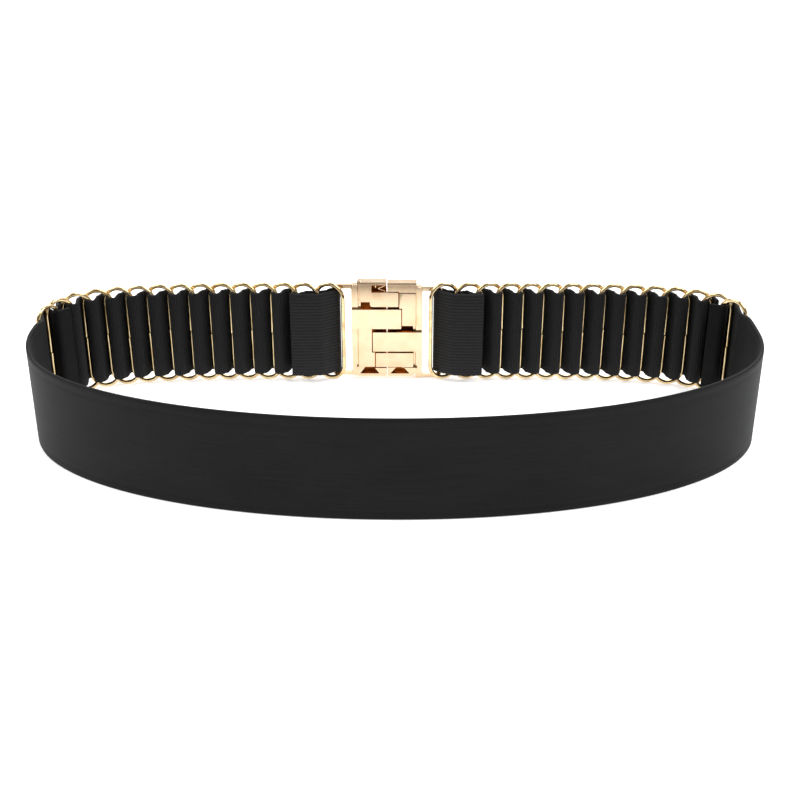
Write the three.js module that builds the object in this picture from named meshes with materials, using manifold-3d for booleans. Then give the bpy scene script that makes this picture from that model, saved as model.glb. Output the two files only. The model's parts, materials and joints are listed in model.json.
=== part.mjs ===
// Women's elastic stretch belt, standing on its lower edge as a closed loop.
// Each side of the clasp has a chain of shingled oval rings with webbing woven through them.
// Millimetres, +X to the right, +Y from the plain band towards the clasp, +Z up.

import * as THREE from 'three';
import { mergeVertices } from 'three/addons/utils/BufferGeometryUtils.js';
import Module from 'manifold-3d';

const wasm = await Module();
wasm.setup();

// Outline of the loop from above, on the middle of the belt's thickness.
const reachLeft = 140.2;
const reachRight = 137.8;
const depthFront = 72.8;
const depthBack = 47.4;
const frontSquareness = 2.03;
const backSquareness = 4.5;
const claspOffset = 4.9; // clasp's middle, left of the loop's middle

// Webbing.
const webbingHeight = 38;
const bandThickness = 1.6;
const wovenThickness = 1.3;
const foldFlapEnd = 40.5; // cut end of the folded webbing, from the clasp's middle
const bandFlapLength = 3.6; // band end past the last ring's near bar
const tuckShare = 0.6; // part of the last slope that the woven webbing covers
const bandEaseLength = 36; // over which the band sinks from chain level to the floor
const bandStep = 6; // between cross-sections of the band
const flapEndShare = 0.54; // how far the flaps reach up a ring's round end, as a part of its radius
const foldEndShare = 0.2; // the same for the fold round the loop bar, inside the first ring,
const crossEndShare = 0.1; // where the webbing crosses between two rings
const wrapEndShare = 0.3; // and where it bends round their bars
const wrapStep = Math.PI / 5.5; // turn between cross-sections where webbing wraps a bar

// Rings.
const ringCount = 15; // on each side
const wireDiameter = 1.7;
const ringWidth = 13.5;
const ringHeadroom = 1.2; // above and below the webbing, inside a ring
const ringGap = 0.45; // between the wires of neighbouring rings
const weaveRoom = 1.6; // added to the webbing's thickness where rings overlap
const wireClearance = 0.35; // between wire and webbing
const firstRingAt = 24.2; // first ring's middle, from the clasp's middle
const secondRingAt = 34.5;

// Clasp.
const claspTop = 21.1; // ends of the housing, from the middle of its half
const claspFoot = 21.4;
const claspMiddle = 22.25; // right half's middle, above the floor
const claspHalfWidth = 15;
const claspDepth = 3.7; // outer face, from the loop frame's near face
const leftHalfLift = 0.6;
const partGap = 0.3;
const loopBarWidth = 1.8;
const loopBarAt = 22.45; // middle of the bar that the webbing folds round
const frameThickness = 1.6;
const frameHeight = 41.2;
const frameFootLeft = 1.25; // frame's lower edge, above the floor
const frameFootRight = 0.15;
const frameRail = 1.75; // top and bottom rails
const frameCorner = 1.8; // radius of the frame's outer corners
const flangeWidth = 2.8;
const shellThickness = 1.4;
const rimWidth = 1.2;
const tongueReach = 6.1; // past the clasp's middle
const tongueHeight = 8.9;
const tongueLow = 0.4; // lower edge, above the middle
const tongueThickness = 1.5;
const tongueProud = 2.1; // tongue's near face, in front of the loop frame's
const guideReach = 4.9;
const guideHeight = 6.6;
const guideSlit = 0.8; // between the tongue and the guide plate
const notchHeight = 2.2; // left half, open beside the guide plate
const legNotchHeight = 2.8; // right half, open between its tongue and its leg
const legFoot = 17; // leg's lower end, below the middle
const lowerInset = 0.4; // left half's opening under the leg, from the flange
const upperInset = 2.4; // right half's opening beyond its guide plate, from the flange
const openingWidth = 8.5; // along the rim
const openingSlant = 2.6; // how far its sides lean in, away from the rim
const stepDepth = 0.5; // guide plate behind the tongue's face

// Sizes that follow.
const thickestWebbing = Math.max(bandThickness, wovenThickness);
const endRadius = (ringWidth - wireDiameter) / 2;
const ringPitch = 2 * endRadius - thickestWebbing - weaveRoom;
const ringHeight = webbingHeight + 2 * (wireDiameter + ringHeadroom);
const straightHalf = (ringHeight - wireDiameter) / 2 - endRadius;
const chainLevel = ringHeight / 2;
const bandLevel = webbingHeight / 2;
const fullHalf = webbingHeight / 2;
const foldHalf = straightHalf + foldEndShare * endRadius;
const crossHalf = straightHalf + crossEndShare * endRadius;
const wrapHalf = straightHalf + wrapEndShare * endRadius;
const flapHalf = straightHalf + flapEndShare * endRadius;
const ringTilt = Math.asin((wireDiameter + ringGap) / ringPitch);
const wovenWrap = wireDiameter / 2 + wireClearance + wovenThickness / 2;
const bandWrap = wireDiameter / 2 + wireClearance + bandThickness / 2;
const coveredWrap = wovenWrap + wovenThickness + wireClearance;
const loopBarEdge = loopBarAt + loopBarWidth / 2;
const frameDropLeft = claspMiddle + leftHalfLift - frameHeight / 2 - frameFootLeft;
const frameDropRight = claspMiddle - frameHeight / 2 - frameFootRight;
const frameNear = (loopBarEdge - firstRingAt) * Math.tan(ringTilt) + wireDiameter / 2 + partGap;

const webbingBlack = new THREE.MeshStandardMaterial({ color: 0x17171a, roughness: 0.85, metalness: 0 });
const bandBlack = new THREE.MeshStandardMaterial({ color: 0x1b1b1d, roughness: 0.75, metalness: 0 });
const wireGold = new THREE.MeshStandardMaterial({ color: 0xd9b66a, roughness: 0.2, metalness: 1 });
const claspGold = new THREE.MeshStandardMaterial({ color: 0xf3d9a4, roughness: 0.25, metalness: 1 });

// Closed outline: an ellipse in front, a squarer curve at the back, starting at the back middle.
class BeltLoop extends THREE.Curve {
  getPoint(t, target = new THREE.Vector3()) {
    const across = -Math.sin(t * Math.PI * 2);
    const away = Math.cos(t * Math.PI * 2);
    const power = away > 0 ? backSquareness : frontSquareness;
    const scale = (Math.abs(across) ** power + Math.abs(away) ** power) ** (-1 / power);
    const reach = across < 0 ? reachLeft : reachRight;
    const depth = away > 0 ? depthBack : depthFront;
    return target.set(across * scale * reach, away * scale * depth, 0);
  }
}

const loop = new BeltLoop();
loop.arcLengthDivisions = 4000;
const loopLength = loop.getLength();

// A place on the loop: distance from the clasp's middle, to the left (side 1) or right (side -1).
function spotOnLoop(side, distance) {
  const along = (claspOffset + side * distance) / loopLength;
  const share = along - Math.floor(along);
  const point = loop.getPointAt(share);
  const ahead = loop.getTangentAt(share).multiplyScalar(side);
  const outward = new THREE.Vector3(ahead.y, -ahead.x, 0).multiplyScalar(side);
  return { point, ahead, outward };
}

function beside(spot, out) {
  return spot.point.clone().addScaledVector(spot.outward, out);
}

const claspSpot = spotOnLoop(1, 0);

function ringDistance(number) {
  return number === 1 ? firstRingAt : secondRingAt + (number - 2) * ringPitch;
}

// A ring's middle, its lengthwise direction away from the clasp, and its two upright bars.
// Near bars lie on the inner side, and the tilt grows with the turn so that the wires stay clear.
function ringPlace(side, number) {
  const spot = spotOnLoop(side, ringDistance(number));
  const before = spotOnLoop(side, ringDistance(Math.max(number - 1, 1)));
  const turn = spot.ahead.angleTo(before.ahead);
  const tilt = ringTilt + turn * (endRadius / ringPitch - 0.5);
  const along = spot.ahead.clone().multiplyScalar(Math.cos(tilt)).addScaledVector(spot.outward, Math.sin(tilt));
  const near = spot.point.clone().addScaledVector(along, -endRadius);
  const far = spot.point.clone().addScaledVector(along, endRadius);
  return { middle: spot.point, along, near, far };
}

// Solid between matching rows of points, closed end to end or capped.
function sweptGeometry(rows, joined) {
  const sides = rows[0].length;
  const positions = rows.flat().flatMap((p) => [p.x, p.y, p.z]);
  const indices = [];
  const spans = joined ? rows.length : rows.length - 1;
  for (let i = 0; i < spans; i += 1) {
    const next = ((i + 1) % rows.length) * sides;
    for (let j = 0; j < sides; j += 1) {
      const k = (j + 1) % sides;
      indices.push(i * sides + j, i * sides + k, next + k);
      indices.push(i * sides + j, next + k, next + j);
    }
  }
  if (!joined) {
    const last = (rows.length - 1) * sides;
    for (let j = 1; j < sides - 1; j += 1) {
      indices.push(0, j + 1, j);
      indices.push(last, last + j, last + j + 1);
    }
  }
  const geometry = new THREE.BufferGeometry();
  geometry.setAttribute('position', new THREE.Float32BufferAttribute(positions, 3));
  geometry.setIndex(indices);
  geometry.computeVertexNormals();
  return geometry;
}

// Round wire bent to a long oval in its own XY plane, Y along the straight bars.
function ringGeometry() {
  const wireSides = 6;
  const endSteps = 6;
  const rows = [];
  for (const end of [1, -1]) {
    for (let step = 0; step <= endSteps; step += 1) {
      const angle = (step / endSteps + (end < 0 ? 1 : 0)) * Math.PI;
      const out = new THREE.Vector3(Math.cos(angle), Math.sin(angle), 0);
      const middle = out.clone().multiplyScalar(endRadius);
      middle.y += end * straightHalf;
      const row = [];
      for (let j = 0; j < wireSides; j += 1) {
        const turn = ((wireSides - j - 0.5) / wireSides) * Math.PI * 2;
        const point = middle.clone().addScaledVector(out, (Math.cos(turn) * wireDiameter) / 2);
        point.z += (Math.sin(turn) * wireDiameter) / 2;
        row.push(point);
      }
      rows.push(row);
    }
  }
  return sweptGeometry(rows, true);
}

const ovalRing = ringGeometry();

function ringMesh(side, number) {
  const place = ringPlace(side, number);
  const mesh = new THREE.Mesh(ovalRing, wireGold);
  const up = new THREE.Vector3(0, 0, 1);
  const across = new THREE.Vector3().crossVectors(place.along, up);
  mesh.quaternion.setFromRotationMatrix(new THREE.Matrix4().makeBasis(place.along, up, across));
  mesh.position.set(place.middle.x, place.middle.y, chainLevel);
  mesh.name = `ring_${side > 0 ? 'left' : 'right'}_${String(number).padStart(2, '0')}`;
  return mesh;
}

// Path threaded round posts by straight runs and arcs. A post's hand is 1 when it stands left
// of the path and -1 when right. half is the webbing's half height where it meets the post,
// and leaveHalf where it leaves, if that differs.
function threadRound(posts) {
  const headings = [];
  for (let i = 0; i + 1 < posts.length; i += 1) {
    const from = posts[i];
    const to = posts[i + 1];
    const dx = to.at.x - from.at.x;
    const dy = to.at.y - from.at.y;
    const lean = Math.asin((to.hand * to.radius - from.hand * from.radius) / Math.hypot(dx, dy));
    headings.push(Math.atan2(dy, dx) - lean);
  }
  const path = [];
  posts.forEach((post, i) => {
    const inward = headings[Math.max(i - 1, 0)];
    const leave = headings[Math.min(i, headings.length - 1)];
    const shortTurn = Math.atan2(Math.sin(leave - inward), Math.cos(leave - inward));
    const turn = shortTurn * post.hand < -0.5 ? shortTurn + post.hand * Math.PI * 2 : shortTurn;
    const steps = post.radius > 0 ? Math.max(1, Math.ceil(Math.abs(turn) / wrapStep)) : 0;
    for (let step = 0; step <= steps; step += 1) {
      const heading = steps > 0 ? inward + (turn * step) / steps : leave;
      path.push({
        x: post.at.x + post.hand * post.radius * Math.sin(heading),
        y: post.at.y - post.hand * post.radius * Math.cos(heading),
        half: THREE.MathUtils.lerp(post.half, post.leaveHalf ?? post.half, steps > 0 ? step / steps : 0),
      });
    }
  });
  return path;
}

// Flat webbing that stands on edge along a path, with its level and half height at each step.
function webbingGeometry(path, thickness) {
  const rows = path.map((here, i) => {
    const back = path[Math.max(i - 1, 0)];
    const front = path[Math.min(i + 1, path.length - 1)];
    const dx = front.x - back.x;
    const dy = front.y - back.y;
    const share = thickness / 2 / Math.hypot(dx, dy);
    const level = here.level ?? chainLevel;
    const left = { x: here.x - dy * share, y: here.y + dx * share };
    const right = { x: here.x + dy * share, y: here.y - dx * share };
    return [
      new THREE.Vector3(left.x, left.y, level + here.half),
      new THREE.Vector3(right.x, right.y, level + here.half),
      new THREE.Vector3(right.x, right.y, level - here.half),
      new THREE.Vector3(left.x, left.y, level - here.half),
    ];
  });
  return sweptGeometry(rows, false);
}

// Folded round the clasp's loop bar, then over each near bar and behind each far bar.
function wovenWebbing(side) {
  const nearHand = -side;
  const farHand = side;
  const bars = (number) => ringPlace(side, number);
  const bar = claspPoint(-side * loopBarAt, frameNear + frameThickness / 2);
  const barWrap = Math.hypot(loopBarWidth, frameThickness) / 2 + partGap + wovenThickness / 2;
  const flapOut = -(endRadius * Math.sin(ringTilt) + coveredWrap - wireClearance);
  const posts = [
    { at: beside(spotOnLoop(side, foldFlapEnd), flapOut), radius: 0, hand: 0, half: flapHalf },
    { at: bars(3).near, radius: coveredWrap, hand: farHand, half: flapHalf },
    { at: bars(2).near, radius: coveredWrap - wireClearance, hand: farHand, half: flapHalf },
    { at: bar, radius: barWrap, hand: farHand, half: foldHalf },
    { at: bars(1).far, radius: wovenWrap, hand: farHand, half: crossHalf, leaveHalf: wrapHalf },
  ];
  for (let number = 3; number < ringCount; number += 1) {
    posts.push(
      { at: bars(number).near, radius: wovenWrap, hand: nearHand, half: wrapHalf, leaveHalf: crossHalf },
      { at: bars(number - 1).far, radius: wovenWrap, hand: farHand, half: crossHalf, leaveHalf: wrapHalf },
    );
  }
  const tail = bars(ringCount - 2).far.clone().lerp(bars(ringCount).near, tuckShare);
  posts.push({ at: tail, radius: 0, hand: 0, half: fullHalf });
  const mesh = new THREE.Mesh(webbingGeometry(threadRound(posts), wovenThickness), webbingBlack);
  mesh.name = side > 0 ? 'woven_elastic_left' : 'woven_elastic_right';
  return mesh;
}

// One end of the plain band, from its cut end to the last ring's far bar.
function bandEnd(side) {
  const last = ringPlace(side, ringCount);
  const cut = ringDistance(ringCount) - endRadius - bandFlapLength;
  const cutOut = -(endRadius * Math.sin(ringTilt) + coveredWrap - wireClearance);
  const posts = [
    { at: beside(spotOnLoop(side, cut), cutOut), radius: 0, hand: 0, half: flapHalf },
    { at: last.near, radius: bandWrap, hand: -side, half: wrapHalf, leaveHalf: straightHalf },
    { at: ringPlace(side, ringCount - 1).far, radius: bandWrap, hand: side, half: crossHalf, leaveHalf: wrapHalf },
    { at: last.far, radius: bandWrap, hand: -side, half: straightHalf },
    { at: spotOnLoop(side, bandStart).point, radius: 0, hand: 0, half: fullHalf },
  ];
  return threadRound(posts).map((step) => ({ ...step, level: chainLevel }));
}

const bandStart = ringDistance(ringCount) + 2 * endRadius;

function plainBand() {
  const start = bandStart;
  const length = loopLength - 2 * start;
  const steps = Math.round(length / bandStep);
  const path = bandEnd(1);
  for (let i = 1; i < steps; i += 1) {
    const distance = (length * i) / steps;
    const fromEnd = Math.min(distance, length - distance);
    const sunk = THREE.MathUtils.smoothstep(fromEnd, 0, bandEaseLength);
    const point = spotOnLoop(1, start + distance).point;
    path.push({ x: point.x, y: point.y, half: fullHalf, level: chainLevel + (bandLevel - chainLevel) * sunk });
  }
  path.push(...bandEnd(-1).reverse());
  const mesh = new THREE.Mesh(webbingGeometry(path, bandThickness), bandBlack);
  mesh.name = 'plain_band';
  return mesh;
}

function claspPoint(across, out) {
  return new THREE.Vector3(
    claspSpot.point.x - claspSpot.ahead.x * across + claspSpot.outward.x * out,
    claspSpot.point.y - claspSpot.ahead.y * across + claspSpot.outward.y * out,
    0,
  );
}

function solidOf(geometry) {
  geometry.deleteAttribute('normal');
  geometry.deleteAttribute('uv');
  const merged = mergeVertices(geometry);
  return new wasm.Manifold(new wasm.Mesh({
    numProp: 3,
    vertProperties: new Float32Array(merged.attributes.position.array),
    triVerts: new Uint32Array(merged.index.array),
  }));
}

function geometryOf(solid) {
  const mesh = solid.getMesh();
  const geometry = new THREE.BufferGeometry();
  geometry.setAttribute('position', new THREE.BufferAttribute(new Float32Array(mesh.vertProperties), 3));
  geometry.setIndex(new THREE.BufferAttribute(new Uint32Array(mesh.triVerts), 1));
  geometry.computeVertexNormals();
  return geometry;
}

// Box between two across, out and up limits.
function block(across, out, up) {
  const geometry = new THREE.BoxGeometry(across[1] - across[0], out[1] - out[0], up[1] - up[0]);
  geometry.translate((across[0] + across[1]) / 2, (out[0] + out[1]) / 2, (up[0] + up[1]) / 2);
  return solidOf(geometry);
}

// Plate of a given outline between two out limits.
function plate(shape, [near, far]) {
  const geometry = new THREE.ExtrudeGeometry(shape, { depth: far - near, bevelEnabled: false, curveSegments: 5 });
  geometry.rotateX(Math.PI / 2);
  geometry.translate(0, far, 0);
  return solidOf(geometry);
}

function outline(...corners) {
  return new THREE.Shape(corners.map(([across, up]) => new THREE.Vector2(across, up)));
}

// Loop frame: a rounded plate with the slot that the webbing passes through.
function loopFrame(middle) {
  const left = -loopBarEdge;
  const right = -claspHalfWidth + flangeWidth;
  const top = middle + frameHeight / 2;
  const foot = middle - frameHeight / 2;
  const shape = new THREE.Shape();
  shape.moveTo(right, foot);
  shape.lineTo(right, top);
  shape.lineTo(left + frameCorner, top);
  shape.absarc(left + frameCorner, top - frameCorner, frameCorner, Math.PI / 2, Math.PI, false);
  shape.lineTo(left, foot + frameCorner);
  shape.absarc(left + frameCorner, foot + frameCorner, frameCorner, Math.PI, Math.PI * 1.5, false);
  shape.closePath();
  const slot = new THREE.Path();
  slot.moveTo(-claspHalfWidth, foot + frameRail);
  slot.lineTo(-loopBarEdge + loopBarWidth, foot + frameRail);
  slot.lineTo(-loopBarEdge + loopBarWidth, top - frameRail);
  slot.lineTo(-claspHalfWidth, top - frameRail);
  slot.closePath();
  shape.holes.push(slot);
  return plate(shape, [frameNear, frameNear + frameThickness]);
}

// Plates on both sides of an opening that narrows from a rim towards its inner end.
function besideOpening([flange, seam], inset, rim, [inner, innerAtSeam], depths) {
  const near = flange + inset;
  const far = near + openingWidth;
  const slant = (openingSlant * (innerAtSeam - rim)) / (inner - rim);
  return [
    plate(outline([flange, rim], [near, rim], [near + openingSlant, inner], [flange, inner]), depths),
    plate(outline([far, rim], [seam, rim], [seam, innerAtSeam], [far - slant, innerAtSeam]), depths),
  ];
}

// One half of the clasp. The right one is alike, turned half a turn in its own plane, but its
// notch and opening are on the other side of its tongue, and its loop frame at another height.
function claspHalfGeometry(side) {
  // The frame's middle is below the middle of its half as it stands, and the right half is turned.
  const frameMiddle = side > 0 ? -frameDropLeft : frameDropRight;
  const top = side > 0 ? claspTop : claspFoot - leftHalfLift;
  const foot = -claspFoot;
  const frameSpan = [frameMiddle - frameHeight / 2, frameMiddle + frameHeight / 2];
  const left = -claspHalfWidth;
  const seam = -partGap / 2;
  const flange = left + flangeWidth;
  const face = frameNear - tongueProud;
  const outer = frameNear + claspDepth;
  const inside = outer - shellThickness;
  const tongueTop = tongueLow + tongueHeight;
  const guideLow = tongueTop + guideSlit;
  const guideTop = guideLow + guideHeight;
  const legEdge = -(tongueReach + partGap);
  const step = face + stepDepth;
  const stepped = [step, step + tongueThickness];
  // The other half's tongue and guide stand lower here by the lift.
  const underTongue = -(tongueTop + leftHalfLift + partGap);
  const underGuide = -(guideTop + leftHalfLift + partGap);
  const sill = foot + rimWidth;
  const guideEdge = -(guideReach + partGap);
  const lintel = top - rimWidth;
  const legTop = side > 0 ? tongueTop : tongueLow - legNotchHeight;
  const column = side > 0 ? [guideLow + notchHeight, top] : [guideLow, legFoot];
  const footCorners = [
    [flange, sill], [seam, sill], [seam, underGuide], [guideEdge, underGuide], [guideEdge, -legFoot],
    [flange, -legFoot],
  ];
  const ends = side > 0
    ? besideOpening([flange, seam], lowerInset, sill, [-legFoot, underGuide], stepped)
    : [
      plate(outline(...footCorners), stepped),
      ...besideOpening([flange, seam], upperInset, lintel, [legFoot, legFoot], stepped),
    ];
  const pieces = [
    block([flange, seam], [inside, outer], [foot, top]),
    block([left, flange], [frameNear, outer], frameSpan),
    block([flange, flange + rimWidth], [frameNear, inside], [foot, top]),
    block([left, tongueReach], [face, face + tongueThickness], [tongueLow, tongueTop]),
    block([left, flange], [face, frameNear], [tongueLow, tongueTop]),
    block([flange, legEdge], [face, inside], [-legFoot, legTop]),
    block([flange, guideEdge], [face, inside], [-legFoot, underTongue]),
    block([flange, legEdge], [step, inside], column),
    block([flange, seam], [step, inside], [lintel, top]),
    block([flange, seam], [step, inside], [foot, sill]),
    block([legEdge - partGap, guideReach], stepped, [guideLow, guideTop]),
    ...ends,
  ];
  const joined = pieces.reduce((sum, piece) => sum.add(piece), loopFrame(frameMiddle));
  return geometryOf(joined);
}

function claspHalfMesh(side) {
  const mesh = new THREE.Mesh(claspHalfGeometry(side), claspGold);
  const turned = Math.atan2(claspSpot.outward.y, claspSpot.outward.x) - Math.PI / 2;
  const lift = side > 0 ? leftHalfLift : 0;
  mesh.rotation.set(0, side > 0 ? 0 : Math.PI, turned, 'ZYX');
  mesh.position.set(claspSpot.point.x, claspSpot.point.y, claspMiddle + lift);
  mesh.name = side > 0 ? 'clasp_half_left' : 'clasp_half_right';
  return mesh;
}

const belt = new THREE.Group();
belt.add(plainBand());
for (const side of [1, -1]) {
  belt.add(wovenWebbing(side));
  for (let number = 1; number <= ringCount; number += 1) {
    belt.add(ringMesh(side, number));
  }
  belt.add(claspHalfMesh(side));
}

// The origin is under the middle of the belt's box, on the surface it stands on.
const box = new THREE.Box3().setFromObject(belt, true);
const middle = box.getCenter(new THREE.Vector3());
belt.position.set(-middle.x, -middle.y, -box.min.z);

export default belt;
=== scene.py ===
# Elastic stretch belt with gold ring chains and a clasp, standing on a pale studio floor.
# Sizes are in millimetres beside each piece, and become metres as its mesh is made.
import json
import math
import random

import bmesh
import bpy
import numpy as np
from mathutils import Matrix, Vector

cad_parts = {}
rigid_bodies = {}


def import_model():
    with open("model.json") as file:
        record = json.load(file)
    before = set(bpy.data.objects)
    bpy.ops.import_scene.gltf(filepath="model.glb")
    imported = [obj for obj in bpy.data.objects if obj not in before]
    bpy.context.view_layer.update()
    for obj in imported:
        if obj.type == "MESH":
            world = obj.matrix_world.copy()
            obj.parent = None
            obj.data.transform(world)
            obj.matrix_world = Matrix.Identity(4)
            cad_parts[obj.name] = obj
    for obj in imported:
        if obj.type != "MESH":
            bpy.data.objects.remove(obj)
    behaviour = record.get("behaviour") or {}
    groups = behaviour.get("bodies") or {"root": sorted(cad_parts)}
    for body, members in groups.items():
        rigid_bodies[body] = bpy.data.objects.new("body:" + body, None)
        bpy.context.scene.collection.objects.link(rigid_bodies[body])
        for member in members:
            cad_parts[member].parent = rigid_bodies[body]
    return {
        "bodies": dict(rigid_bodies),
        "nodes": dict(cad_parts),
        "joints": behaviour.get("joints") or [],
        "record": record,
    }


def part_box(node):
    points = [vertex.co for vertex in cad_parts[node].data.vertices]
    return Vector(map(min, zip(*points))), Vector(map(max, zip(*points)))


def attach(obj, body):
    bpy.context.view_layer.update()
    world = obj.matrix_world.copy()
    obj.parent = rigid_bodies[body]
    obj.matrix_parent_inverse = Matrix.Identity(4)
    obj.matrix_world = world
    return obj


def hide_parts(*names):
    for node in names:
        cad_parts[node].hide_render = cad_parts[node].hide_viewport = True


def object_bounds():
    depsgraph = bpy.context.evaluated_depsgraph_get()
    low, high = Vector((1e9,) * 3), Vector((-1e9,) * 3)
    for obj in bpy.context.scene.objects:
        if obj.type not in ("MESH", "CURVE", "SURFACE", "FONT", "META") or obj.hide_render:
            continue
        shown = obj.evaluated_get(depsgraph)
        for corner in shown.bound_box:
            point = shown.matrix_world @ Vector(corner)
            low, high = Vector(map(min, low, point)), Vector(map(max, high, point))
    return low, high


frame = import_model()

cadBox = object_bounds()
mm = 0.001
chance = random.Random(11)

studioCamera = {
    "place": (0.00268, -0.40269, 0.20029),
    "tilt": 65.44,  # degrees, 90 looks level
    "lens": 52.09,
}


def addCamera(view):
    data = bpy.data.cameras.new("studioCamera")
    data.lens = view["lens"]
    data.sensor_width = 36
    data.clip_start = 0.01
    data.clip_end = 60
    camera = bpy.data.objects.new("studioCamera", data)
    camera.location = view["place"]
    camera.rotation_euler = (math.radians(view["tilt"]), 0, 0)
    bpy.context.scene.collection.objects.link(camera)
    bpy.context.scene.camera = camera


addCamera(studioCamera)
print("camera placed")


# Materials

def addNode(tree, kind, inputs=None, **settings):
    made = tree.nodes.new(kind)
    for name, value in settings.items():
        setattr(made, name, value)
    for name, value in (inputs or {}).items():
        if isinstance(value, bpy.types.NodeSocket):
            tree.links.new(value, made.inputs[name])
        else:
            made.inputs[name].default_value = value
    return made


def newMaterial(name, shaderInputs):
    material = bpy.data.materials.new(name)
    material.use_nodes = True
    tree = material.node_tree
    tree.nodes.clear()
    shader = addNode(tree, "ShaderNodeBsdfPrincipled", shaderInputs)
    addNode(tree, "ShaderNodeOutputMaterial", {"Surface": shader.outputs[0]})
    return material, tree, shader


def mathNode(tree, operation, *values):
    return addNode(tree, "ShaderNodeMath", dict(enumerate(values)), operation=operation).outputs[0]


def wave(tree, coordinate, pitch):
    return mathNode(tree, "SINE", mathNode(tree, "MULTIPLY", coordinate, 2 * math.pi / pitch))


def weighted(tree, first, share, second):
    return mathNode(tree, "MULTIPLY_ADD", first, share, second)


def clothLines(tree):
    # distance along the cloth and height on it, in millimetres
    lines = addNode(tree, "ShaderNodeUVMap", uv_map="clothLines")
    apart = addNode(tree, "ShaderNodeSeparateXYZ", {0: lines.outputs[0]})
    return apart.outputs[0], apart.outputs[1]


def stretchedNoise(tree, along, height, alongScale, heightScale, detail=4):
    spread = addNode(tree, "ShaderNodeCombineXYZ", {
        0: mathNode(tree, "MULTIPLY", along, alongScale),
        1: mathNode(tree, "MULTIPLY", height, heightScale),
    })
    noise = addNode(tree, "ShaderNodeTexNoise", {"Vector": spread.outputs[0], "Scale": 1, "Detail": detail})
    return noise.outputs[0]


def shadeBetween(tree, amount, stops):
    ramp = addNode(tree, "ShaderNodeValToRGB", {0: amount})
    elements = ramp.color_ramp.elements
    for index, (place, tone) in enumerate(stops):
        stop = elements[index] if index < 2 else elements.new(place)
        stop.position = place
        stop.color = (*tone, 1)
    return ramp.outputs[0]


def dress(tree, shader, colour, relief, strength, depth):
    bump = addNode(tree, "ShaderNodeBump", {"Height": relief, "Strength": strength, "Distance": depth})
    tree.links.new(colour, shader.inputs["Base Color"])
    tree.links.new(bump.outputs[0], shader.inputs["Normal"])


bandCloth = {
    "dark": (0.002, 0.002, 0.0022),
    "light": (0.009, 0.009, 0.0092),
    "threadPitch": 0.42,
}


def bandFabric(look):
    material, tree, shader = newMaterial("bandFabric", {
        "Roughness": 0.62, "Specular IOR Level": 0.13,
        "Sheen Weight": 0.04, "Sheen Roughness": 0.45, "Sheen Tint": (0.9, 0.92, 1.0, 1),
    })
    along, height = clothLines(tree)
    streaks = stretchedNoise(tree, along, height, 0.045, 1.7)
    patches = stretchedNoise(tree, along, height, 0.03, 0.06)
    threads = wave(tree, height, look["threadPitch"])
    picks = stretchedNoise(tree, along, height, 2.2, 2.6, 2)
    tone = weighted(tree, streaks, 0.55, weighted(tree, patches, 0.5, weighted(tree, picks, 0.25, -0.15)))
    colour = shadeBetween(tree, tone, [(0.25, look["dark"]), (0.8, look["light"])])
    relief = weighted(tree, threads, 0.25, weighted(tree, streaks, 0.8, picks))
    dress(tree, shader, colour, relief, 0.5, 0.00008)
    return material


wovenCloth = {
    "dark": (0.003, 0.003, 0.0034),
    "light": (0.015, 0.015, 0.0155),
    "ribPitch": 0.56,  # crosswise ribs of the face
    "pickPitch": 0.62,
    "reverseDark": (0.007, 0.007, 0.0074),
    "reverseLight": (0.019, 0.019, 0.0195),
    "reverseRibPitch": 1.36,  # lengthwise ribs of the reverse
}


def wovenFace(look):
    material, tree, shader = newMaterial("wovenFace", {
        "Roughness": 0.7, "Specular IOR Level": 0.2,
        "Sheen Weight": 0.08, "Sheen Roughness": 0.4,
    })
    along, height = clothLines(tree)
    ribs = wave(tree, along, look["ribPitch"])
    picks = wave(tree, height, look["pickPitch"])
    fuzz = stretchedNoise(tree, along, height, 1.4, 1.4, 3)
    relief = weighted(tree, ribs, 0.4, weighted(tree, picks, 0.25, fuzz))
    # colour follows the relief: painted shade in the rib valleys and lighter crests, plus random thread tone
    # from the fuzz
    colour = shadeBetween(tree, relief, [(0.1, look["dark"]), (0.95, look["light"])])
    dress(tree, shader, colour, relief, 0.6, 0.0001)
    return material


def wovenReverse(look):
    material, tree, shader = newMaterial("wovenReverse", {
        "Roughness": 0.7, "Specular IOR Level": 0.22,
        "Sheen Weight": 0.1, "Sheen Roughness": 0.4,
    })
    along, height = clothLines(tree)
    ribs = wave(tree, height, look["reverseRibPitch"])
    picks = wave(tree, along, look["ribPitch"])
    fuzz = stretchedNoise(tree, along, height, 1.1, 1.1, 3)
    relief = weighted(tree, ribs, 0.4, weighted(tree, picks, 0.16, fuzz))
    # colour follows the relief: painted shade in the rib valleys and lighter crests, plus random thread tone
    # from the fuzz
    colour = shadeBetween(tree, relief, [(0.05, look["reverseDark"]), (1.0, look["reverseLight"])])
    dress(tree, shader, colour, relief, 0.8, 0.00016)
    return material


goldFinish = {
    "ringGold": {
        "bright": (0.84, 0.65, 0.36), "dull": (0.56, 0.38, 0.17), "roughness": 0.16, "grain": 2600,
    },
    "claspGold": {
        "bright": (0.8, 0.6, 0.4), "dull": (0.75, 0.53, 0.33), "roughness": 0.14, "grain": 2200,
    },
    "recessShadeGold": {  # painted shade: darker gold on the shells' inner faces, standing in for the shade in the recesses
        "bright": (0.68, 0.2, 0.03), "dull": (0.36, 0.09, 0.015), "roughness": 0.35, "grain": 2200,
    },
}


def objectNoise(tree, scale, detail):
    place = addNode(tree, "ShaderNodeTexCoord")
    noise = addNode(tree, "ShaderNodeTexNoise", {
        "Vector": place.outputs["Object"], "Scale": scale, "Detail": detail,
    })
    return noise.outputs[0]


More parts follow.
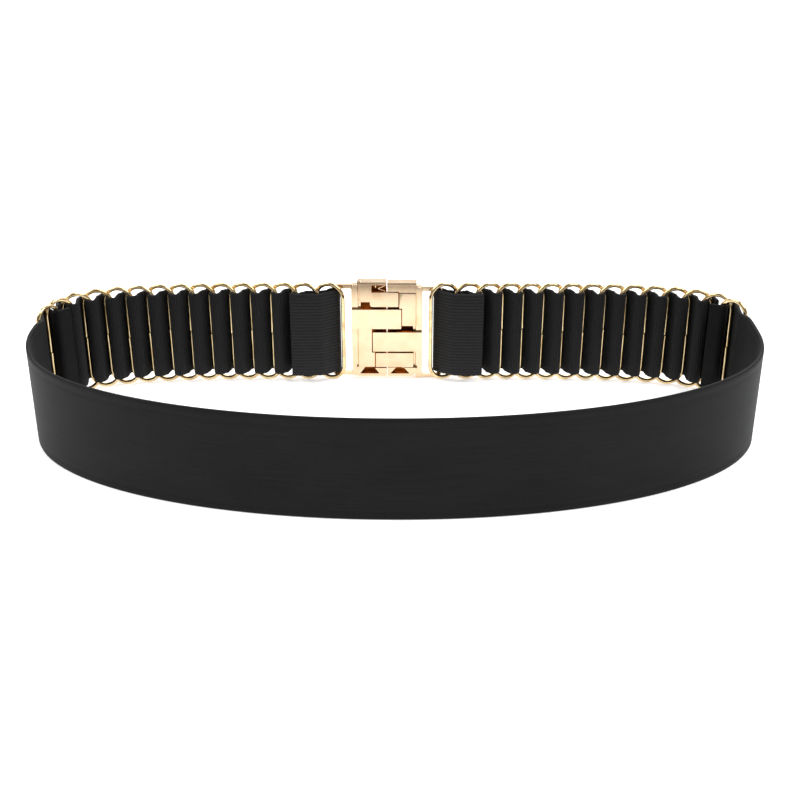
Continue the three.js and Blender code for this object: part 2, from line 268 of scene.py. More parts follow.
def plating(name):
    look = goldFinish[name]
    material, tree, shader = newMaterial(name, {"Metallic": 1, "Specular IOR Level": 0.5})
    clouds = objectNoise(tree, 180, 3)
    fine = objectNoise(tree, look["grain"], 2)
    colour = shadeBetween(tree, clouds, [(0.3, look["dull"]), (0.55, look["bright"])])
    rough = addNode(tree, "ShaderNodeMapRange", {
        "Value": fine, "To Min": look["roughness"] * 0.7, "To Max": look["roughness"] * 1.4,
    })
    tree.links.new(rough.outputs[0], shader.inputs["Roughness"])
    dress(tree, shader, colour, fine, 0.12, 0.00002)
    return material


plainBandCloth = bandFabric(bandCloth)
rollCloth = wovenFace(wovenCloth)
reverseCloth = wovenReverse(wovenCloth)
ringGold = plating("ringGold")
claspGold = plating("claspGold")
# darker gold that paints the shade in the clasp's recesses
recessShadeGold = plating("recessShadeGold")
print("materials made")


# The belt's line, seen from above, and places on it

beltLine = {
    "reachLeft": 140.2,
    "reachRight": 137.8,
    "depthFront": 72.8,
    "depthBack": 47.4,
    "frontSquareness": 2.03,
    "backSquareness": 4.5,
    "claspOffset": 4.9,  # clasp's middle, left of the loop's middle
    "traceSteps": 12000,
}

ringWire = {
    "count": 15,
    "radius": 0.85,
    "endRadius": 5.9,
    "straightHalf": 15.15,
    "level": 21.9,  # middle of a ring, above the floor
    "firstAt": 24.2,  # from the clasp's middle
    "secondAt": 34.5,
    "pitch": 8.6,
    "wireGap": 0.45,  # between neighbours
    "sides": 16,
    "barSteps": 8,  # along each half of the bar with the joint
    "farBarSteps": 12,
    "arcSteps": 24,
    "jointGap": 0.3,
    "jointSpread": 1.6,  # above or below the middle at most
    "jointShift": 0.14,  # the two wire ends miss each other by this
    "jointReach": 3,  # length of wire over which a shifted end comes back
}
ringTilt = math.asin((2 * ringWire["radius"] + ringWire["wireGap"]) / ringWire["pitch"])

plainBand = {
    "thickness": 1.6,
    "level": 19.0,
    "flapLength": 3.6,
    "easeLength": 36,
    "grooveAt": 0.865,  # share of the half height
    "grooveHalfWidth": 0.02,
    "grooveDepth": 0.05,
    "lineStep": 1.5,
    "sweepStep": 0.5,
    "softening": 5,  # steps on each side that an edge's height is averaged over
}

wovenBand = {
    "thickness": 1.3,
    "fullHalf": 19.0,
    "barHalf": 18.4,  # half heights where it bends round a bar, crosses between rings and slopes
    "crossHalf": 17.2,
    "slopeHalf": 18.9,
    "flapHalf": 18.5,
    "flapEnd": 40.5,
    "tuckShare": 0.6,
    "loopBarAt": 22.45,
    "loopBarRadius": 1.35,
    "loopBarSlack": 0.155,  # between the loop bar and the webbing round it
    "loopFrameMiddle": 1.73,  # frame's middle plane, out from the belt's line
    "clearance": 0.35,
    "ribDepth": 0.07,
    "longRipple": (0.07, 0.9),  # how far an edge wavers, and how fast along the webbing
    "shortRipple": (0.06, 2.3),
    "softening": 4,
}


def traceLoop(line):
    turns = np.linspace(0, 2 * math.pi, line["traceSteps"] + 1)
    across, away = -np.sin(turns), np.cos(turns)
    atBack = away > 0
    power = np.where(atBack, line["backSquareness"], line["frontSquareness"])
    scale = (np.abs(across) ** power + np.abs(away) ** power) ** (-1 / power)
    x = across * scale * np.where(across < 0, line["reachLeft"], line["reachRight"])
    y = away * scale * np.where(atBack, line["depthBack"], line["depthFront"])
    low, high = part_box("plain_band")  # sets the line where the band's solid is
    x += high.x / mm - line["reachRight"] - plainBand["thickness"] / 2
    y += low.y / mm + line["depthFront"] + plainBand["thickness"] / 2
    travelled = np.concatenate([[0], np.cumsum(np.hypot(np.diff(x), np.diff(y)))])
    return x, y, travelled


loopX, loopY, loopTravel = traceLoop(beltLine)
loopLength = loopTravel[-1]


def loopPoint(travel):
    travel %= loopLength
    return np.array([np.interp(travel, loopTravel, loopX), np.interp(travel, loopTravel, loopY)])


def spotOnLoop(side, distance):
    # side is 1 to the left of the clasp and -1 to the right
    travel, step = beltLine["claspOffset"] + side * distance, 0.07
    ahead = loopPoint(travel + step) - loopPoint(travel - step)
    ahead *= side / np.hypot(*ahead)
    outward = np.array([ahead[1], -ahead[0]]) * side
    return loopPoint(travel), ahead, outward


def ringDistance(number):
    return ringWire["firstAt"] if number == 1 else ringWire["secondAt"] + (number - 2) * ringWire["pitch"]


def ringPlace(side, number):
    middle, ahead, outward = spotOnLoop(side, ringDistance(number))
    before = spotOnLoop(side, ringDistance(max(number - 1, 1)))[1]
    turn = math.acos(min(1, float(ahead @ before)))
    tilt = ringTilt + turn * (ringWire["endRadius"] / ringWire["pitch"] - 0.5)
    along = ahead * math.cos(tilt) + outward * math.sin(tilt)
    reach = along * ringWire["endRadius"]
    return {"middle": middle, "along": along, "near": middle - reach, "far": middle + reach}


# Meshes

def sideWord(side):
    return "left" if side > 0 else "right"


def finishObject(name, mesh, materials, replaced=()):
    for material in materials:
        mesh.materials.append(material)
    mesh.update()
    piece = bpy.data.objects.new(name, mesh)
    bpy.context.scene.collection.objects.link(piece)
    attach(piece, "root")
    if replaced:
        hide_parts(*replaced)
    return piece


def faceOutward(mesh):
    shape = bmesh.new()
    shape.from_mesh(mesh)
    bmesh.ops.recalc_face_normals(shape, faces=shape.faces)
    shape.to_mesh(mesh)
    shape.free()


def smoothWithin(mesh, degrees):
    mesh.polygons.foreach_set("use_smooth", [True] * len(mesh.polygons))
    mesh.set_sharp_from_angle(angle=math.radians(degrees))


def sweepFaces(rows, sides):
    faces = []
    for i in range(rows - 1):
        for j in range(sides):
            k = (j + 1) % sides
            faces.append((i * sides + j, i * sides + k, (i + 1) * sides + k, (i + 1) * sides + j))
    faces.append(tuple(range(sides)))
    faces.append(tuple(range((rows - 1) * sides, rows * sides)))
    return faces


# Rings: round wire bent to a long oval, with the butt joint on the bar away from the clasp

def ringOutline(jointUp):
    radius, half, gap = ringWire["endRadius"], ringWire["straightHalf"], ringWire["jointGap"] / 2
    barPoints, arcPoints = ringWire["barSteps"] + 1, ringWire["arcSteps"] + 1
    points = [(radius, up) for up in np.linspace(jointUp + gap, half, barPoints)]
    points += [(radius * math.cos(a), half + radius * math.sin(a))
               for a in np.linspace(0, math.pi, arcPoints)[1:]]
    points += [(-radius, up) for up in np.linspace(half, -half, ringWire["farBarSteps"] + 1)[1:]]
    points += [(radius * math.cos(a), radius * math.sin(a) - half)
               for a in np.linspace(math.pi, 2 * math.pi, arcPoints)[1:]]
    points += [(radius, up) for up in np.linspace(-half, jointUp - gap, barPoints)[1:]]
    return np.array(points)


def addEnds(points, rise=0.1, endWidth=0.72):
    # short steps at both ends, so that the wire's cut ends are rounded
    first = points[0] + (points[1] - points[0]) * rise / np.linalg.norm(points[1] - points[0])
    last = points[-1] + (points[-2] - points[-1]) * rise / np.linalg.norm(points[-2] - points[-1])
    widths = np.ones(len(points) + 2)
    widths[[0, -1]] = endWidth
    return np.concatenate([points[:1], [first], points[1:-1], [last], points[-1:]]), widths


def wireMesh(points, widths, radius, flatNormal, sides):
    # points in millimetres in one plane, whose normal is flatNormal
    heading = np.gradient(points, axis=0)
    heading /= np.linalg.norm(heading, axis=1)[:, None]
    sideways = np.cross(heading, flatNormal)
    turns = np.linspace(0, 2 * math.pi, sides, endpoint=False)
    ring = sideways[:, None, :] * np.cos(turns)[None, :, None] + flatNormal * np.sin(turns)[None, :, None]
    grid = points[:, None, :] + ring * radius * widths[:, None, None]
    mesh = bpy.data.meshes.new("wire")
    mesh.from_pydata((grid.reshape(-1, 3) * mm).tolist(), [], sweepFaces(len(points), sides))
    faceOutward(mesh)
    smoothWithin(mesh, 45)
    return mesh


def addRing(side, number):
    place, spread, reach = ringPlace(side, number), ringWire["jointSpread"], ringWire["jointReach"]
    outline = ringOutline(chance.uniform(-spread, spread))
    shift = ringWire["jointShift"] * chance.choice((-1, 1))
    steps = np.concatenate([[0], np.cumsum(np.linalg.norm(np.diff(outline, axis=0), axis=1))])
    outline[:, 0] += shift * (np.exp(-steps / reach) - np.exp((steps - steps[-1]) / reach))
    flat, widths = addEnds(outline)
    along, upward = np.array([*place["along"], 0]), np.array([0, 0, 1])
    middle = np.array([*place["middle"], ringWire["level"]])
    points = middle + flat[:, :1] * along + flat[:, 1:] * upward
    mesh = wireMesh(points, widths, ringWire["radius"], np.cross(along, upward), ringWire["sides"])
    label = f"{sideWord(side)}_{number:02d}"
    finishObject(f"goldRing_{label}", mesh, [ringGold], [f"ring_{label}"])


for side in (1, -1):
    for number in range(1, ringWire["count"] + 1):
        addRing(side, number)
print("rings bent")


# Webbing: a path threaded round the bars, then a rounded flat section swept along it

def post(at, radius, hand, half, halfAfter=None):
    # hand is 1 for a post left of the path and -1 for one on its right, and halfAfter is the
    # half height in the middle of the run that follows
    return {"at": at, "radius": radius, "hand": hand, "half": half, "halfAfter": halfAfter}


def touchPoint(spot, heading):
    reach = spot["hand"] * spot["radius"]
    return spot["at"] + reach * np.array([math.sin(heading), -math.cos(heading)])


def threadRound(posts, arcStep=0.07):
    headings = []
    for start, end in zip(posts, posts[1:]):
        run = end["at"] - start["at"]
        lean = math.asin((end["hand"] * end["radius"] - start["hand"] * start["radius"]) / np.hypot(*run))
        headings.append(math.atan2(run[1], run[0]) - lean)
    path = []
    for i, spot in enumerate(posts):
        inward, leave = headings[max(i - 1, 0)], headings[min(i, len(headings) - 1)]
        turn = math.atan2(math.sin(leave - inward), math.cos(leave - inward))
        if turn * spot["hand"] < -0.5:  # a wrap over half a circle
            turn += spot["hand"] * 2 * math.pi
        steps = max(1, math.ceil(abs(turn) / arcStep)) if spot["radius"] > 0 else 0
        for step in range(steps + 1):
            heading = inward + turn * step / steps if steps else leave
            path.append((*touchPoint(spot, heading), spot["half"]))
        if spot["halfAfter"]:
            here, there = touchPoint(spot, headings[i]), touchPoint(posts[i + 1], headings[i])
            path.append((*((here + there) / 2), spot["halfAfter"]))
    return path


def evenSteps(path, step):
    path = np.array(path, float)
    gaps = np.hypot(*np.diff(path[:, :2], axis=0).T)
    path = path[np.concatenate([[True], gaps > 1e-6])]
    travel = np.concatenate([[0], np.cumsum(np.hypot(*np.diff(path[:, :2], axis=0).T))])
    even = np.linspace(0, travel[-1], round(travel[-1] / step) + 1)
    return even, np.stack([np.interp(even, travel, column) for column in path.T], 1)


def softened(values, reach):
    padded = np.pad(values, reach, mode="edge")
    return np.convolve(padded, np.ones(2 * reach + 1) / (2 * reach + 1), mode="valid")


def clothProfile(faceShares, faceInsets, edgeSteps=3):
    # up the left face, over the top edge, down the right face and round the lower edge
    rows = []
    for hand in (1, -1):
        rows += [(hand, share * hand, 0, inset) for share, inset in zip(faceShares, faceInsets)]
        for step in range(1, edgeSteps + 1):
            angle = math.pi * step / (edgeSteps + 1)
            rows.append((hand * math.cos(angle), hand, hand * math.sin(angle), 0))
    return np.array(rows).T


def sweepCloth(travel, path, thickness, profile, relief=None, edgeShare=0.42):
    sideOf, share, lift, inset = profile
    heading = np.gradient(path[:, :2], axis=0)
    heading /= np.linalg.norm(heading, axis=1)[:, None]
    leftward = np.stack([-heading[:, 1], heading[:, 0]], 1)
    edge = thickness * edgeShare
    offset = np.ones(len(path))[:, None] * (sideOf * thickness / 2 - np.sign(sideOf) * inset)
    if relief is not None:
        offset += relief
    height = share * (path[:, 2:3] - edge) + lift * edge
    grid = np.empty((len(path), len(sideOf), 3))
    grid[:, :, :2] = path[:, None, :2] + leftward[:, None, :] * offset[:, :, None]
    grid[:, :, 2] = path[:, 3:4] + height
    lines = np.stack([np.broadcast_to(travel[:, None], height.shape), height], 2)
    return grid, lines


def clothMesh(name, grid, lines, columnMaterials):
    rows, sides = grid.shape[:2]
    mesh = bpy.data.meshes.new(name)
    mesh.from_pydata((grid.reshape(-1, 3) * mm).tolist(), [], sweepFaces(rows, sides))
    mesh.polygons.foreach_set("material_index", list(columnMaterials) * (rows - 1) + [0, 0])
    faceOutward(mesh)
    layer = mesh.uv_layers.new(name="clothLines")
    corners = np.empty(len(mesh.loops), np.int32)
    mesh.loops.foreach_get("vertex_index", corners)
    layer.data.foreach_set("uv", lines.reshape(-1, 2)[corners].ravel())
    smoothWithin(mesh, 55)
    return mesh


def flapOffset():
    # a flap's lay, in front of the near bars and the webbing that they carry
    reach = ringWire["endRadius"] * math.sin(ringTilt) + ringWire["radius"] + 1.5 * wovenBand["thickness"]
    return -(reach + wovenBand["clearance"])


def wovenPosts(side):
    near, far = -side, side
    bars = lambda number: ringPlace(side, number)
    thickness, clearance = wovenBand["thickness"], wovenBand["clearance"]
    barHalf, crossHalf, slopeHalf = wovenBand["barHalf"], wovenBand["crossHalf"], wovenBand["slopeHalf"]
    flapHalf = wovenBand["flapHalf"]
    wrap = ringWire["radius"] + clearance + thickness / 2
    covered = wrap + thickness + clearance
    loopWrap = wovenBand["loopBarRadius"] + thickness / 2 + wovenBand["loopBarSlack"]
    clasp, claspAhead, claspOut = spotOnLoop(1, 0)
    loopBar = clasp + claspAhead * side * wovenBand["loopBarAt"] + claspOut * wovenBand["loopFrameMiddle"]
    cut, _, cutOut = spotOnLoop(side, wovenBand["flapEnd"])
    posts = [
        post(cut + cutOut * flapOffset(), 0, 0, flapHalf),
        post(bars(3)["near"], covered, far, flapHalf),
        post(bars(2)["near"], covered - clearance, far, flapHalf),
        post(loopBar, loopWrap, far, flapHalf, crossHalf),
        post(bars(1)["far"], wrap, far, crossHalf, barHalf),
    ]
    for number in range(3, ringWire["count"]):
        posts.append(post(bars(number)["near"], wrap, near, barHalf, crossHalf))
        posts.append(post(bars(number - 1)["far"], wrap, far, barHalf, slopeHalf))
    start, end = bars(ringWire["count"] - 2)["far"], bars(ringWire["count"])["near"]
    posts.append(post(start + (end - start) * wovenBand["tuckShare"], 0, 0, wovenBand["fullHalf"]))
    return posts


def withinFirstRing(side, path):
    # the fold keeps inside the round ends of the first ring
    first = ringPlace(side, 1)
    along = (path[:, :2] - first["middle"]) @ first["along"]
    room = ringWire["endRadius"] - ringWire["radius"]
    limit = ringWire["straightHalf"] + np.sqrt(np.clip(room ** 2 - along ** 2, 0, None))
    return np.where(along < 0, np.minimum(path[:, 2], limit), path[:, 2])


def addWovenBand(side):
    ribStep = wovenCloth["ribPitch"] / 4
    travel, path = evenSteps(threadRound(wovenPosts(side)), ribStep)
    heights = softened(withinFirstRing(side, path), wovenBand["softening"])
    path = np.column_stack([path[:, 0], path[:, 1], heights, np.full(len(path), ringWire["level"])])
    (longSize, longRate), (shortSize, shortRate) = wovenBand["longRipple"], wovenBand["shortRipple"]
    path[:, 2] += longSize * np.sin(travel * longRate + side) + shortSize * np.sin(travel * shortRate)
    shares = np.linspace(-1, 1, 7)
    profile = clothProfile(shares, np.zeros(7))
    sideOf = profile[0]
    # crosswise ribs on the side that shows where the webbing rolls over the near bars
    ribs = np.sin(travel * 2 * math.pi / wovenCloth["ribPitch"]) * wovenBand["ribDepth"]
    relief = ribs[:, None] * side * (np.sign(sideOf) == side) * np.abs(sideOf)
    grid, lines = sweepCloth(travel, path, wovenBand["thickness"], profile, relief)
    columns = [0 if np.sign(value) == side or abs(value) < 0.9 else 1 for value in sideOf]
    word = sideWord(side)
    mesh = clothMesh(f"wovenElastic_{word}", grid, lines, columns)
    cloths = [rollCloth, reverseCloth]
    finishObject(f"wovenElastic_{word}", mesh, cloths, [f"woven_elastic_{word}"])


for side in (1, -1):
    addWovenBand(side)
print("woven webbing threaded")


bandStart = ringDistance(ringWire["count"]) + 2 * ringWire["endRadius"]


def bandEnd(side):
    last = ringPlace(side, ringWire["count"])
    barHalf, crossHalf = wovenBand["barHalf"], wovenBand["crossHalf"]
    wrap = ringWire["radius"] + wovenBand["clearance"] + plainBand["thickness"] / 2
    flapStart = ringDistance(ringWire["count"]) - ringWire["endRadius"] - plainBand["flapLength"]
    cut, _, cutOut = spotOnLoop(side, flapStart)
    posts = [
        post(cut + cutOut * flapOffset(), 0, 0, wovenBand["flapHalf"]),
        post(last["near"], wrap, -side, barHalf, crossHalf),
        post(ringPlace(side, ringWire["count"] - 1)["far"], wrap, side, barHalf),
        post(last["far"], wrap, -side, crossHalf),
        post(spotOnLoop(side, bandStart)[0], 0, 0, wovenBand["fullHalf"]),
    ]
    return [(*step, ringWire["level"]) for step in threadRound(posts)]


def addPlainBand():
    length = loopLength - 2 * bandStart
    steps = round(length / plainBand["lineStep"])
    path = bandEnd(1)
    for i in range(1, steps):
        distance = length * i / steps
        eased = min(1, min(distance, length - distance) / plainBand["easeLength"])
        sunk = eased * eased * (3 - 2 * eased)
        level = ringWire["level"] + (plainBand["level"] - ringWire["level"]) * sunk
        path.append((*spotOnLoop(1, bandStart + distance)[0], wovenBand["fullHalf"], level))
    path += bandEnd(-1)[::-1]
    travel, path = evenSteps(path, plainBand["sweepStep"])
    path[:, 2] = softened(path[:, 2], plainBand["softening"])
    groove, wide, depth = plainBand["grooveAt"], plainBand["grooveHalfWidth"], plainBand["grooveDepth"]
    half = [0, 0.25, 0.5, 0.72, groove - wide, groove, groove + wide, 0.95, 1]
    insets = [0, 0, 0, 0, 0, depth, 0, 0, 0]
    shares = [-share for share in half[:0:-1]] + half
    profile = clothProfile(shares, insets[:0:-1] + insets, 4)
    grid, lines = sweepCloth(travel, path, plainBand["thickness"], profile)
    mesh = clothMesh("plainBand", grid, lines, [0] * len(profile[0]))
    finishObject("plainBand", mesh, [plainBandCloth], ["plain_band"])


addPlainBand()
print("plain band swept")


# Clasp: two halves, each a shell with a tongue, a leg and a guide plate on its inner side.
# Across runs from the clasp's middle, out from the belt's line away from the wearer.

claspSizes = {
    "middle": 22.25,  # right half's middle, above the floor
    "top": 21.1,  # ends of the housing, from the middle of its half
    "foot": -21.4,
    "halfWidth": 15,
    "seam": -0.15,
    "leftLift": 0.6,
    "face": -1.17,  # inner faces of tongue and leg
    "stepFace": -0.67,  # inner face of the guide plate
    "frameNear": 0.93,
    "wallNear": 0.3,
    "inside": 3.23,
    "outer": 4.63,
    "frameHeight": 41.2,
    "frameDropLeft": 1,
    "frameDropRight": 1.5,
    "frameRail": 1.75,
    "frameThickness": 1.6,
    "barOuter": -23.35,
    "barInner": -21.55,
    "flange": -12.2,
    "rim": 1.2,
    "tongueReach": 6.1,
    "tongueLow": 0.4,
    "tongueTop": 9.3,
    "guideReach": 4.9,
    "guideLow": 10.1,
    "guideTop": 16.7,
    "notchTop": 12.3,
    "legNotchLow": -2.4,
    "legFoot": -17,
    "lowerOpening": (-11.8, -3.3),  # left half, along its lower rim
    "upperOpening": (-9.8, -1.3),  # right half, along its other rim
    "openingSlant": 2.6,
    "plateDepth": 1.5,
    "clearance": 0.3,  # between the plates of the two halves
    "edge": 0.3,
    "rimEdge": 0.06,
    "trimEdge": 0.15,
}


def roundCorners(corners, radii, steps=4):
    rounded = []
    for i, corner in enumerate(corners):
        here = Vector(corner)
        radius = radii[i] if isinstance(radii, (list, tuple)) else radii
        if radius <= 0:
            rounded.append(tuple(here))
            continue
        before = (Vector(corners[i - 1]) - here).normalized()
        after = (Vector(corners[(i + 1) % len(corners)]) - here).normalized()
        reach = radius / math.tan(before.angle(after) / 2)
        for step in range(steps + 1):
            t = step / steps
            start, end = here + before * reach, here + after * reach
            rounded.append(tuple(start * (1 - t) ** 2 + here * 2 * t * (1 - t) + end * t ** 2))
    return rounded


def rectangle(left, right, low, top):
    return [(left, low), (right, low), (right, top), (left, top)]


def plateSolid(corners, near, far, nearEdge=0.0, farEdge=0.0, farCorners=None):
    # solid between an outline on its near side and one on its far side, its edges rounded over
    shape = bmesh.new()
    front = [shape.verts.new((across, near, up)) for across, up in corners]
    rear = [shape.verts.new((across, far, up)) for across, up in (farCorners or corners)]
    shape.faces.new(front)
    shape.faces.new(rear[::-1])
    count = len(front)
    for i in range(count):
        shape.faces.new((front[i], rear[i], rear[(i + 1) % count], front[(i + 1) % count]))
    bmesh.ops.recalc_face_normals(shape, faces=shape.faces)
    for level, width in ((near, nearEdge), (far, farEdge)):
        if width > 0:
            edges = [e for e in shape.edges if all(abs(v.co.y - level) < 1e-6 for v in e.verts)]
            bmesh.ops.bevel(shape, geom=edges, offset=width, segments=3, profile=0.5, affect="EDGES",
                            clamp_overlap=True)
    mesh = bpy.data.meshes.new("solid")
    shape.to_mesh(mesh)
    shape.free()
    solid = bpy.data.objects.new("solid", mesh)
    bpy.context.scene.collection.objects.link(solid)
    return solid


def uniteSolids(base, added, cut=()):
    for operation, others in (("UNION", added), ("DIFFERENCE", cut)):
        for other in others:
            step = base.modifiers.new(operation.lower(), "BOOLEAN")
            step.operation = operation
            step.solver = "EXACT"
            step.object = other
    shown = base.evaluated_get(bpy.context.evaluated_depsgraph_get())
    mesh = bpy.data.meshes.new_from_object(shown)
    for used in (base, *added, *cut):
        bpy.data.objects.remove(used)
    return mesh


def claspLevels(side):
    # heights that differ between the halves, and where the other half's plates leave room
    c = claspSizes
    onLeft, foot = side > 0, c["foot"]
    top = c["top"] if onLeft else -foot - c["leftLift"]
    frameMiddle = -c["frameDropLeft"] if onLeft else c["frameDropRight"]
    columnLow, columnTop = (c["notchTop"], top - 0.2) if onLeft else (c["guideLow"], -c["legFoot"])
    return {
        "foot": foot,
        "sill": foot + c["rim"],
        "top": top,
        "frameFoot": frameMiddle - c["frameHeight"] / 2,
        "frameTop": frameMiddle + c["frameHeight"] / 2,
        "legTop": c["tongueTop"] - 0.1 if onLeft else c["legNotchLow"],
        "columnLow": columnLow,
        "columnTop": columnTop,
        "underGuide": -(c["guideTop"] + c["leftLift"] + c["clearance"]),
        "underTongue": -(c["tongueTop"] + c["leftLift"] + c["clearance"]),
        "besideGuide": -(c["guideReach"] + c["clearance"]),
        "besideTongue": -(c["tongueReach"] + c["clearance"]),
    }


# The plates reach into each other by up to a millimetre, and offsets of a few hundredths keep
# touching faces off one plane, so that they unite cleanly.

def shellSolid(at):
    c = claspSizes
    outline = rectangle(c["flange"] - 0.4, c["seam"], at["foot"], at["top"])
    return plateSolid(roundCorners(outline, [1.2, 0.3, 0.3, 1.2]), c["inside"] - 0.03, c["outer"], 0, 0.8)


def frameSolids(at):
    # loop frame, and the side wall that carries it
    c = claspSizes
    frame = rectangle(c["barOuter"], -c["halfWidth"] + 0.6, at["frameFoot"], at["frameTop"])
    wall = rectangle(-c["halfWidth"], c["flange"] + 0.02, at["frameFoot"], at["frameTop"])
    frameFar = c["frameNear"] + c["frameThickness"]
    return [
        plateSolid(roundCorners(frame, [1.8, 0, 0, 1.8]), c["frameNear"], frameFar, c["edge"], c["edge"]),
        plateSolid(roundCorners(wall, [1.2, 0, 0, 1.2]), c["wallNear"], c["outer"] - 0.05, 0.2, 0.6),
    ]


def frameWindow(at):
    c = claspSizes
    low, high = at["frameFoot"] + c["frameRail"], at["frameTop"] - c["frameRail"]
    window = roundCorners(rectangle(c["barInner"], -c["halfWidth"], low, high), 0.5)
    return plateSolid(window, c["frameNear"] - 1, c["frameNear"] + c["frameThickness"] + 1)


def rimSolids(at):
    c = claspSizes
    flange = rectangle(c["flange"], c["flange"] + c["rim"], at["foot"] + 0.05, at["top"] - 0.05)
    lower = rectangle(c["flange"] - 0.3, c["seam"], at["sill"] - c["rim"], at["sill"])
    upper = rectangle(c["flange"] + 0.6, c["seam"], at["top"] - c["rim"], at["top"])
    return [
        plateSolid(roundCorners(flange, [0.8, 0, 0, 0.8]), c["frameNear"] + 0.05, c["inside"], 0.2),
        plateSolid(lower, c["stepFace"], c["inside"], c["rimEdge"]),
        plateSolid(roundCorners(upper, [0, 0, 0.6, 1.0]), c["stepFace"], c["inside"], c["rimEdge"]),
    ]


def tongueSolids():
    # tongue and its root
    c = claspSizes
    tongue = rectangle(-c["halfWidth"], c["tongueReach"], c["tongueLow"], c["tongueTop"])
    root = rectangle(-c["halfWidth"], c["flange"], c["tongueLow"] + 0.1, c["tongueTop"] - 0.1)
    tongueFar = c["face"] + c["plateDepth"]
    return [
        plateSolid(roundCorners(tongue, [0.2, 0.4, 0.4, 0.2]), c["face"], tongueFar, c["edge"]),
        plateSolid(root, c["face"] + 0.5, c["frameNear"] + 0.2),
    ]


def legSolids(at):
    # leg, narrower beside the other half's tongue
    c = claspSizes
    low, high = c["legFoot"] + 0.1, at["legTop"]
    inner = rectangle(c["flange"], at["besideTongue"], low, high)
    outer = rectangle(c["flange"] - 1.1, at["besideTongue"], low, high)
    step = rectangle(c["flange"] + 0.3, at["besideGuide"], c["legFoot"], at["underTongue"])
    return [
        plateSolid(inner, c["face"], c["inside"], 0.2, 0, outer),
        plateSolid(step, c["face"] + 0.02, c["inside"], 0.2),
    ]


def columnSolid(at):
    # column that carries the guide plate
    c = claspSizes
    inner, outer = (
        roundCorners(rectangle(c["flange"] + shift, at["besideTongue"], at["columnLow"], at["columnTop"]),
                     [0.3, 0.2, 0, 1.0])
        for shift in (0.9, 0.2)
    )
    return plateSolid(inner, c["stepFace"] + 0.02, c["inside"], 0.25, 0, outer)


def guideSolid():
    c = claspSizes
    outline = rectangle(-(c["tongueReach"] + 1.1), c["guideReach"], c["guideLow"], c["guideTop"])
    return plateSolid(roundCorners(outline, [1.3, 0.4, 0.6, 0.2]),
                      c["stepFace"] + 0.05, c["stepFace"] + c["plateDepth"], c["edge"])


def besideOpening(span, rim, inner):
    # plates on both sides of an opening that narrows from a rim towards its inner end
    c = claspSizes
    near, far = span
    edge, seam, slant = c["flange"] - 0.8, c["seam"], c["openingSlant"]
    farSlant = slant * (inner[1] - rim) / (inner[0] - rim)
    outlines = [
        [(edge, rim), (near, rim), (near + slant, inner[0]), (edge, inner[0])],
        [(far, rim), (seam, rim), (seam, inner[1]), (far - farSlant, inner[1])],
    ]
    return [plateSolid(outline, c["stepFace"] + shift, c["stepFace"] + c["plateDepth"], c["trimEdge"])
            for outline, shift in zip(outlines, (-0.3, 0.03))]


def openingSolids(side, at):
    c = claspSizes
    seam, low, inner = c["seam"], at["sill"] - 0.2, c["legFoot"] + 0.2
    if side > 0:
        return besideOpening(c["lowerOpening"], low, (inner, at["underGuide"]))
    outer, guide, edge = c["flange"] - 0.8, at["underGuide"], at["besideGuide"]
    floorPlate = [(outer, low), (seam, low), (seam, guide), (edge, guide), (edge, inner), (outer, inner)]
    return besideOpening(c["upperOpening"], at["top"] - c["rim"] + 0.2, (-inner, -inner)) + [
        plateSolid(floorPlate, c["stepFace"] + 0.03, c["stepFace"] + c["plateDepth"], c["trimEdge"]),
    ]


def claspHalf(side):
    at = claspLevels(side)
    shell = shellSolid(at)
    added = [
        *frameSolids(at), *rimSolids(at), *tongueSolids(), *legSolids(at),
        columnSolid(at), guideSolid(), *openingSolids(side, at),
    ]
    return uniteSolids(shell, added, [frameWindow(at)])


def paintRecessShade(mesh):
    # the shell's inner side shows through the openings and notches, and gets the darker gold as painted shade
    depth = claspSizes["inside"]
    for face in mesh.polygons:
        inner = abs(face.center.y - depth) < 0.1 and abs(face.normal.y) > 0.9
        face.material_index = int(inner and face.center.x > claspSizes["flange"])


def claspMatrix(side):
    at, ahead, outward = spotOnLoop(1, 0)
    lift = claspSizes["leftLift"] if side > 0 else 0
    place = Matrix((
        (-ahead[0] * side, outward[0], 0, at[0]),
        (-ahead[1] * side, outward[1], 0, at[1]),
        (0, 0, side, claspSizes["middle"] + lift),
        (0, 0, 0, 1),
    ))
    return Matrix.Scale(mm, 4) @ place


def addClaspHalf(side):
    word = sideWord(side)
    mesh = claspHalf(side)
    mesh.materials.clear()
    paintRecessShade(mesh)
    mesh.transform(claspMatrix(side))
    smoothWithin(mesh, 40)
    # the second finish is painted shade for the recess faces
    metals = [claspGold, recessShadeGold]
    piece = finishObject(f"claspHalf_{word}", mesh, metals, [f"clasp_half_{word}"])
    evened = piece.modifiers.new("evenNormals", "WEIGHTED_NORMAL")
    evened.keep_sharp = True


for side in (1, -1):
    addClaspHalf(side)


# Spring seen in the opening above the guide plate
claspSpring = {
    "wire": 0.32,
    "depth": 0.6,
    "sides": 10,
    "legs": [
        (-0.8, 19.4), (-2.2, 18.7), (-3.5, 18.2), (-3.7, 17.95), (-3.4, 17.8), (-2.0, 17.3), (-0.7, 16.95),
    ],
    "post": [(-4.8, 20.2), (-4.75, 19.3), (-4.8, 18.4)],
}


def addSpring(name, corners):
    flat = np.array([(across, claspSpring["depth"], up) for across, up in corners])
    points, widths = addEnds(flat)
    mesh = wireMesh(points, widths, claspSpring["wire"], np.array([0.0, 1.0, 0.0]), claspSpring["sides"])
    mesh.transform(claspMatrix(1) @ Matrix.Scale(1 / mm, 4))
    finishObject(name, mesh, [claspGold])


addSpring("claspSpring", claspSpring["legs"])
addSpring("claspSpringPost", claspSpring["post"])
print("clasp built")


# Studio

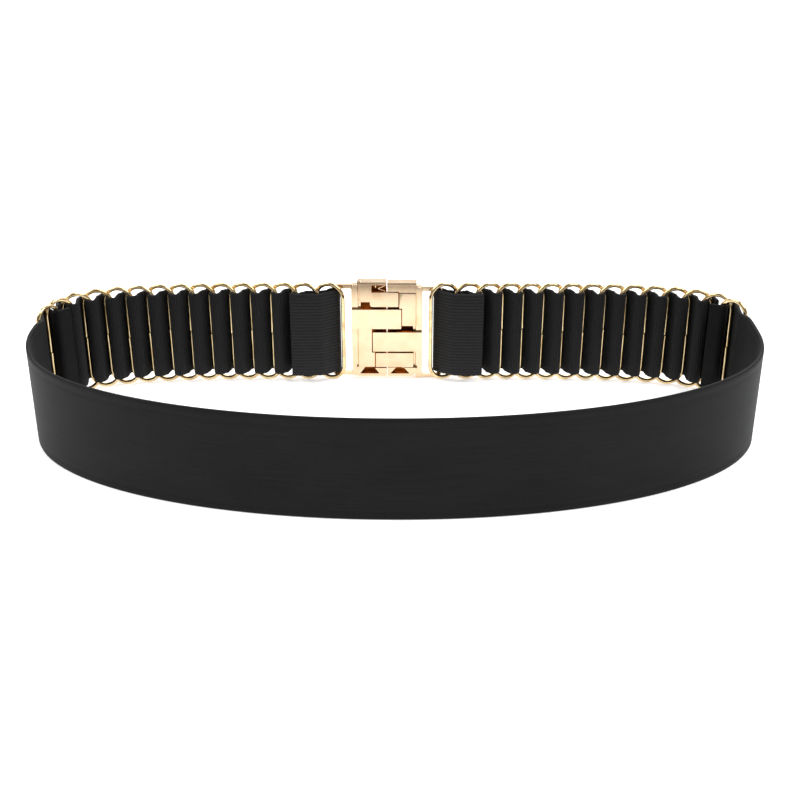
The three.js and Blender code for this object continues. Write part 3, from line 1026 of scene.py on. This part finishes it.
studio = {
    "floorSize": 14,
    "floorTone": (0.93, 0.93, 0.93),
    "floorShade": 0.985,  # the floor's darker clouds
    "skyTop": (0.2, 0.2, 0.2),
    "skyLow": (1.0, 1.0, 1.0),
    "skyBorder": (0.1, 0.2),  # how high the bright part ends and the dark part starts
    "skyStrength": 1.0,
    "backRise": 0.75,  # how much higher the bright part of the sky reaches behind the belt
    "floorGlow": 0.5,  # the floor is a lit table
}
broadLights = [
    # name, direction it shines from, width in degrees, strength
    ("keyLight", (0.6, -0.25, 1.0), 40, 1.9),
    ("fillLight", (-0.8, -0.05, 1.0), 40, 1.4),
    ("backLight", (0.1, 0.9, 1.0), 50, 1.4),
]


def floorFinish(look):
    material, tree, shader = newMaterial("floorFinish", {
        "Roughness": 0.8, "Specular IOR Level": 0.2,
        "Emission Color": (1, 1, 1, 1), "Emission Strength": look["floorGlow"],
    })
    tone = look["floorTone"]
    darker = tuple(value * look["floorShade"] for value in tone)
    colour = shadeBetween(tree, objectNoise(tree, 3, 2), [(0.3, darker), (0.7, tone)])
    tree.links.new(colour, shader.inputs["Base Color"])
    return material


def addFloor(look):
    reach = look["floorSize"] / 2
    level = cadBox[0].z
    mesh = bpy.data.meshes.new("floor")
    corners = [(-reach, -reach, level), (reach, -reach, level), (reach, reach, level), (-reach, reach, level)]
    mesh.from_pydata(corners, [], [(0, 1, 2, 3)])
    mesh.materials.append(floorFinish(look))
    floor = bpy.data.objects.new("floor", mesh)
    bpy.context.scene.collection.objects.link(floor)


def addBroadLight(name, source, width, strength):
    data = bpy.data.lights.new(name, "SUN")
    data.angle = math.radians(width)
    data.energy = strength
    light = bpy.data.objects.new(name, data)
    light.rotation_euler = (-Vector(source)).to_track_quat("-Z", "Y").to_euler()
    bpy.context.scene.collection.objects.link(light)


def lightSky(look):
    world = bpy.data.worlds.new("studioSky")
    world.use_nodes = True
    tree = world.node_tree
    tree.nodes.clear()
    direction = addNode(tree, "ShaderNodeTexCoord")
    apart = addNode(tree, "ShaderNodeSeparateXYZ", {0: direction.outputs["Generated"]})
    # bright along the horizon and well up behind the belt, dark overhead and above the camera
    behind = mathNode(tree, "MAXIMUM", apart.outputs[1], 0)
    rise = weighted(tree, behind, -look["backRise"], apart.outputs[2])
    colour = shadeBetween(tree, rise, list(zip(look["skyBorder"], (look["skyLow"], look["skyTop"]))))
    sky = addNode(tree, "ShaderNodeBackground", {0: colour, 1: look["skyStrength"]})
    addNode(tree, "ShaderNodeOutputWorld", {0: sky.outputs[0]})
    bpy.context.scene.world = world


addFloor(studio)
for light in broadLights:
    addBroadLight(*light)
lightSky(studio)
bpy.context.scene.view_settings.view_transform = "Standard"
print("studio lit")
